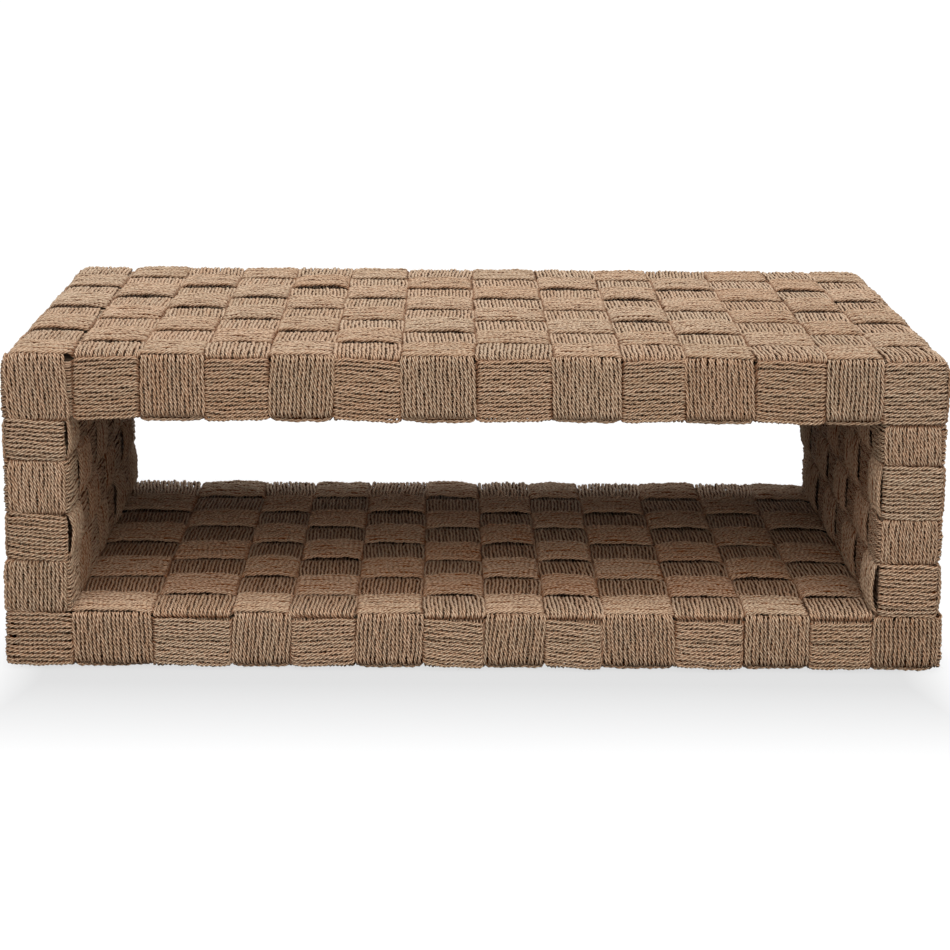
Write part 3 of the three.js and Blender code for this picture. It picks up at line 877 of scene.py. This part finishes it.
def mix_colour(nodes, links, share, first, second):
    node = nodes.new("ShaderNodeMix")
    node.data_type = "RGBA"
    sockets = [node.inputs[0], node.inputs[6], node.inputs[7]]
    for socket, value in zip(sockets, (share, first, second)):
        if isinstance(value, bpy.types.NodeSocket):
            links.new(value, socket)
        elif socket.type == "RGBA":
            socket.default_value = (*value, 1)
        else:
            socket.default_value = value
    return node.outputs[2]


def add_bump(nodes, links, shader, height, distance):
    bump = nodes.new("ShaderNodeBump")
    bump.inputs["Distance"].default_value = distance
    links.new(height, bump.inputs["Height"])
    links.new(bump.outputs["Normal"], shader.inputs["Normal"])


def background_seen(nodes, links):
    """1 for the rays of the camera and of gloss and glass, which see the white studio."""
    rays = nodes.new("ShaderNodeLightPath")
    seen = math_node(nodes, links, "MAXIMUM", rays.outputs["Is Camera Ray"], rays.outputs["Is Glossy Ray"])
    return math_node(nodes, links, "MAXIMUM", seen, rays.outputs["Is Transmission Ray"])


# The noise runs from about 0.3 to 0.7, and only its rare ends lie past that.
NOISE_MIDDLE = (0.3, 0.7)
NOISE_BROAD = (0.2, 0.8)
FINE_BUMP, COARSE_BUMP, CORD_BUMP = 0.0002, 0.0006, 0.001

CORD_DARK = (0.355, 0.212, 0.12)
CORD_PALE = (0.71, 0.54, 0.395)
CORD_WARM = (0.59, 0.36, 0.21)
CORD_COOL = (0.515, 0.40, 0.26)
# The painted shade: the dark colour that grooves between plies and gaps between cords are painted in, and
# how far up a ply's side it reaches.
GROOVE_SHADE_COLOUR = (0.15, 0.038, 0.004)
GROOVE_SHADE_TONE = 0.12  # how much of the cord's colour a groove keeps
GROOVE_SHADE_REACH = 0.4  # how far up a ply's side that comes back
FIBRE_DEPTH = 0.25  # how deep the bump takes the fibres, in mm
PLY_DEPTH = 1.25  # how much deeper than its flat sides the bump takes a groove, in mm
FIBRE_STRETCH = (5.0, 5.0, 0.12)
STREAK_STRETCH = (1.1, 1.1, 0.03)
FIBRE_TONES = (0.15, 0.85)
STREAK_TONES = (-0.18, 0.18)
LOOK_REACH, LOOK_TONES = (-2.0, 2.0), (-0.22, 0.22)
TINT_REACH, TINT_SHARE = (-1.5, 1.5), 0.4
CORD_ROUGHNESS = (0.75, 0.55)
CORD_SPECULAR = 0.08


def cord_material():
    """Matt plant fibre: stretched fibres, tone that drifts by cord and block, and painted shade in the
    grooves, between the cords and inside the tunnel.
    """
    material, nodes, links = new_material("twisted_cord_fibre")
    shader = nodes["Principled BSDF"]
    strand = nodes.new("ShaderNodeAttribute")
    strand.attribute_name = "strand"
    look = nodes.new("ShaderNodeAttribute")
    look.attribute_name = "look"
    parts = nodes.new("ShaderNodeSeparateXYZ")
    links.new(look.outputs["Vector"], parts.inputs[0])
    fibres = noise(nodes, links, strand.outputs["Vector"], 1.0, FIBRE_STRETCH, 3.0)
    streaks = noise(nodes, links, strand.outputs["Vector"], 1.0, STREAK_STRETCH, 2.0)
    tone = map_range(nodes, links, parts.outputs[0], *LOOK_REACH, *LOOK_TONES)
    fibre_tone = map_range(nodes, links, fibres, *NOISE_MIDDLE, *FIBRE_TONES)
    streak_tone = map_range(nodes, links, streaks, *NOISE_MIDDLE, *STREAK_TONES)
    tone = math_node(nodes, links, "ADD", tone, fibre_tone)
    tone = math_node(nodes, links, "ADD", tone, streak_tone)
    colour = mix_colour(nodes, links, tone, CORD_DARK, CORD_PALE)
    warmth = map_range(nodes, links, parts.outputs[1], *TINT_REACH, 0, 1)
    tint = mix_colour(nodes, links, warmth, CORD_COOL, CORD_WARM)
    colour = mix_colour(nodes, links, TINT_SHARE, colour, tint)
    # Painted shade: grooves between plies and the cords' sides that face their neighbours are mixed
    # towards the dark groove shade colour.
    gap = nodes.new("ShaderNodeAttribute")
    gap.attribute_name = "gap_shade_keep"
    crest = map_range(nodes, links, parts.outputs[2], 0.0, GROOVE_SHADE_REACH, GROOVE_SHADE_TONE, 1)
    crest = math_node(nodes, links, "MULTIPLY", crest, gap.outputs["Fac"])
    colour = mix_colour(nodes, links, crest, GROOVE_SHADE_COLOUR, colour)
    links.new(colour, shader.inputs["Base Color"])
    roughness = map_range(nodes, links, fibres, *NOISE_BROAD, *CORD_ROUGHNESS)
    links.new(roughness, shader.inputs["Roughness"])
    shader.inputs["Specular IOR Level"].default_value = CORD_SPECULAR
    # Over the flat sides between crests and grooves, the shading rounds each ply.
    fall = math_node(nodes, links, "SUBTRACT", 1.0, parts.outputs[2])
    fall = math_node(nodes, links, "MULTIPLY", fall, fall)
    fall = math_node(nodes, links, "MULTIPLY", fall, -PLY_DEPTH)
    height = math_node(nodes, links, "MULTIPLY", fibres, FIBRE_DEPTH)
    height = math_node(nodes, links, "ADD", height, fall)
    add_bump(nodes, links, shader, height, CORD_BUMP)
    return material


WOOD_DARK = (0.035, 0.022, 0.013)
WOOD_PALE = (0.085, 0.055, 0.033)
WOOD_SCALE, WOOD_STRETCH = 60.0, (0.05, 1.0, 1.0)
WOOD_ROUGHNESS = (0.9, 0.7)
WOOD_SPECULAR = 0.1


def panel_material():
    """The core panels' dark stained wood, which shows only deep between the cords."""
    material, nodes, links = new_material("core_panel_wood")
    shader = nodes["Principled BSDF"]
    shader.inputs["Specular IOR Level"].default_value = WOOD_SPECULAR
    place = nodes.new("ShaderNodeTexCoord").outputs["Object"]
    grain = noise(nodes, links, place, WOOD_SCALE, WOOD_STRETCH, 4.0)
    colour = mix_colour(nodes, links, grain, WOOD_DARK, WOOD_PALE)
    links.new(colour, shader.inputs["Base Color"])
    roughness = map_range(nodes, links, grain, *NOISE_BROAD, *WOOD_ROUGHNESS)
    links.new(roughness, shader.inputs["Roughness"])
    add_bump(nodes, links, shader, grain, COARSE_BUMP)
    return material


PLASTIC_DARK = (0.012, 0.011, 0.010)
PLASTIC_PALE = (0.030, 0.028, 0.026)
PLASTIC_GRAIN, PLASTIC_DUST = 900.0, 90.0
PLASTIC_ROUGHNESS = (0.4, 0.65)


def glide_material():
    """Dark moulded plastic with a fine grain and a little dust."""
    material, nodes, links = new_material("glide_plastic")
    shader = nodes["Principled BSDF"]
    place = nodes.new("ShaderNodeTexCoord").outputs["Object"]
    grain = noise(nodes, links, place, PLASTIC_GRAIN, (1, 1, 1), 3.0)
    dust = noise(nodes, links, place, PLASTIC_DUST, (1, 1, 1), 4.0)
    colour = mix_colour(nodes, links, dust, PLASTIC_DARK, PLASTIC_PALE)
    links.new(colour, shader.inputs["Base Color"])
    roughness = map_range(nodes, links, dust, *NOISE_BROAD, *PLASTIC_ROUGHNESS)
    links.new(roughness, shader.inputs["Roughness"])
    add_bump(nodes, links, shader, grain, FINE_BUMP)
    return material


FLOOR_SPAN = 120.0
FLOOR_COLOUR = (0.06, 0.06, 0.06)
FLOOR_GLOW = 1.0
FLOOR_CLOUD, FLOOR_CLOUD_SCALE = 0.98, 3.0
# A painted shadow on the floor: how much the floor is lifted under and round the table, less than
# elsewhere, and where that gives way to white, to its sides and to its front and back.
PAINTED_SHADOW_GLOW = 0.69
PAINTED_SHADOW_SIDES = (0.56, 0.66)
PAINTED_SHADOW_ENDS = (0.40, 0.75)


def floor_material():
    """A floor that looks pale to the camera, with a painted shadow that dims it towards the table."""
    material, nodes, links = new_material("pale_floor")
    shader = nodes["Principled BSDF"]
    place = nodes.new("ShaderNodeTexCoord").outputs["Object"]
    cloud = noise(nodes, links, place, FLOOR_CLOUD_SCALE, (1, 1, 1), 3.0)
    dull = tuple(FLOOR_CLOUD * part for part in FLOOR_COLOUR)
    pale = mix_colour(nodes, links, cloud, FLOOR_COLOUR, dull)
    links.new(pale, shader.inputs["Base Color"])
    shader.inputs["Roughness"].default_value = 1.0
    shader.inputs["Specular IOR Level"].default_value = 0.0
    seen = background_seen(nodes, links)
    shader.inputs["Emission Color"].default_value = (1, 1, 1, 1)
    parts = nodes.new("ShaderNodeSeparateXYZ")
    links.new(place, parts.inputs[0])
    # The painted shadow: the glow is lower under and round the table.
    past = []
    for socket, reach in ((parts.outputs[0], PAINTED_SHADOW_SIDES), (parts.outputs[1], PAINTED_SHADOW_ENDS)):
        away = math_node(nodes, links, "ABSOLUTE", socket, 0.0)
        past.append(map_range(nodes, links, away, *reach, 0, 1))
    reach = math_node(nodes, links, "MAXIMUM", *past)
    glow = map_range(nodes, links, reach, 0, 1, PAINTED_SHADOW_GLOW, FLOOR_GLOW)
    links.new(math_node(nodes, links, "MULTIPLY", seen, glow), shader.inputs["Emission Strength"])
    return material


def make_floor():
    size = FLOOR_SPAN / 2
    points = np.array([(-size, -size, 0), (size, -size, 0), (size, size, 0), (-size, size, 0)])
    mesh = make_mesh("floor", points, np.array([[0, 1, 2, 3]]))
    floor = add_object("floor", mesh)
    mesh.materials.append(floor_material())


# The sky's strength at the horizon and overhead, and how fast it grows between them.
SKY_LOW = 0.0
SKY_HIGH = 0.8
SKY_POWER = 3.0
FRONT_FILL = 0.15  # how much is added towards the front, and how narrowly
FRONT_FOCUS = 10.0
COOL_LIGHT = (0.92, 1.0, 1.15)


def make_world():
    """White behind everything for the camera, and a soft sky that is brightest overhead."""
    world = bpy.data.worlds.new("studio")
    bpy.context.scene.world = world
    world.use_nodes = True
    nodes, links = world.node_tree.nodes, world.node_tree.links
    background = nodes["Background"]
    parts = nodes.new("ShaderNodeSeparateXYZ")
    links.new(nodes.new("ShaderNodeTexCoord").outputs["Generated"], parts.inputs[0])
    height = map_range(nodes, links, parts.outputs[2], 0.0, 1.0, 0, 1)
    height = math_node(nodes, links, "POWER", height, SKY_POWER)
    sky = map_range(nodes, links, height, 0.0, 1.0, SKY_LOW, SKY_HIGH)
    front = map_range(nodes, links, parts.outputs[1], 0.0, -1.0, 0, 1)
    front = math_node(nodes, links, "POWER", front, FRONT_FOCUS)
    fill = math_node(nodes, links, "MULTIPLY", front, FRONT_FILL)
    sky = math_node(nodes, links, "ADD", sky, fill)
    seen = background_seen(nodes, links)
    strength = nodes.new("ShaderNodeMix")
    links.new(seen, strength.inputs[0])
    links.new(sky, strength.inputs[2])
    strength.inputs[3].default_value = 1.0
    links.new(strength.outputs[0], background.inputs["Strength"])
    links.new(mix_colour(nodes, links, seen, COOL_LIGHT, (1, 1, 1)), background.inputs["Color"])


SUN_STRENGTH = 3.05
SUN_SPREAD = math.radians(90)
SUN_LEAN = math.radians(29)  # from overhead towards the front
SUN_TURN = math.radians(10)


def make_sun():
    lamp = bpy.data.lights.new("soft_key", "SUN")
    lamp.energy = SUN_STRENGTH
    lamp.angle = SUN_SPREAD
    sun = add_object("soft_key", lamp)
    sun.rotation_euler = (SUN_LEAN, 0, SUN_TURN)


@dataclass
class Softbox:
    """A lamp that the camera doesn't see."""

    name: str
    place: tuple
    size: tuple
    power: float
    lean: float  # from shining straight down to shining to the back
    tint: tuple = (1.0, 1.0, 1.0)


SOFTBOXES = [
    Softbox("front_softbox", (0, -1.1, 0.36), (1.7, 0.4), 4.3, math.radians(90)),
    Softbox("rear_softbox", (0, 0.8, 1.95), (1.6, 0.4), 6.5, math.radians(-12), COOL_LIGHT),
]


def make_softboxes():
    for box in SOFTBOXES:
        lamp = bpy.data.lights.new(box.name, "AREA")
        lamp.shape = "RECTANGLE"
        lamp.size, lamp.size_y = box.size
        lamp.energy = box.power
        lamp.color = box.tint
        lit = add_object(box.name, lamp)
        lit.location = box.place
        lit.rotation_euler = (box.lean, 0, 0)
        lit.visible_camera = False


def make_camera():
    lens = bpy.data.cameras.new("camera")
    lens.lens = CAMERA_LENS
    lens.sensor_width = CAMERA_SENSOR
    lens.shift_y = CAMERA_SHIFT
    lens.clip_end = CAMERA_REACH
    camera = add_object("camera", lens)
    looking = Euler((math.pi / 2 - CAMERA_TILT, 0, CAMERA_YAW)).to_matrix()
    turned = looking @ Matrix.Rotation(CAMERA_ROLL, 3, "Z")
    camera.rotation_euler = turned.to_euler()
    camera.location = CAMERA_PLACE
    bpy.context.scene.camera = camera


def dress_panels_and_glides():
    wood, plastic = panel_material(), glide_material()
    for node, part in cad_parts.items():
        if node.endswith("core_panel"):
            part.data.materials.clear()
            part.data.materials.append(wood)
        if node.startswith("glide"):
            part.data.materials.clear()
            part.data.materials.append(plastic)


def cord_count(ring):
    """As many cords as lie side by side in an over cell."""
    spans = [cell[2] - cell[1] for side in ring.sides for cell in side.cells if cell[0]]
    return round(sum(spans) / len(spans) / CORD_PITCH) + 1


def weave_table():
    """Makes every band's cords, and the loose fibres of each kind of band."""
    material = cord_material()
    picked = {}
    for name, node, ring in all_rings():
        row, blocks = ring_stations(ring)
        row = keep_seen(row)
        count = cord_count(ring)
        line, outward = cord_lines(ring, row, blocks, count)
        piece = twisted_cords(name, line, outward, row, blocks, ring.axes[2])
        piece.data.materials.append(material)
        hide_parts(node)
        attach(piece, "root")
        kind = {ACROSS_AXES: "across", ALONG_AXES: "along", GIRTH_AXES: "girth"}[ring.axes]
        picked.setdefault(kind, []).append(pick_fibres(line, outward, row))
    for kind, fibres in picked.items():
        piece = fibre_piece(f"loose_fibres_{kind}", fibres)
        piece.data.materials.append(material)
        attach(piece, "root")


make_camera()
make_world()
make_sun()
make_softboxes()
make_floor()
dress_panels_and_glides()
weave_table()

view = bpy.context.scene.view_settings
view.view_transform = "Standard"
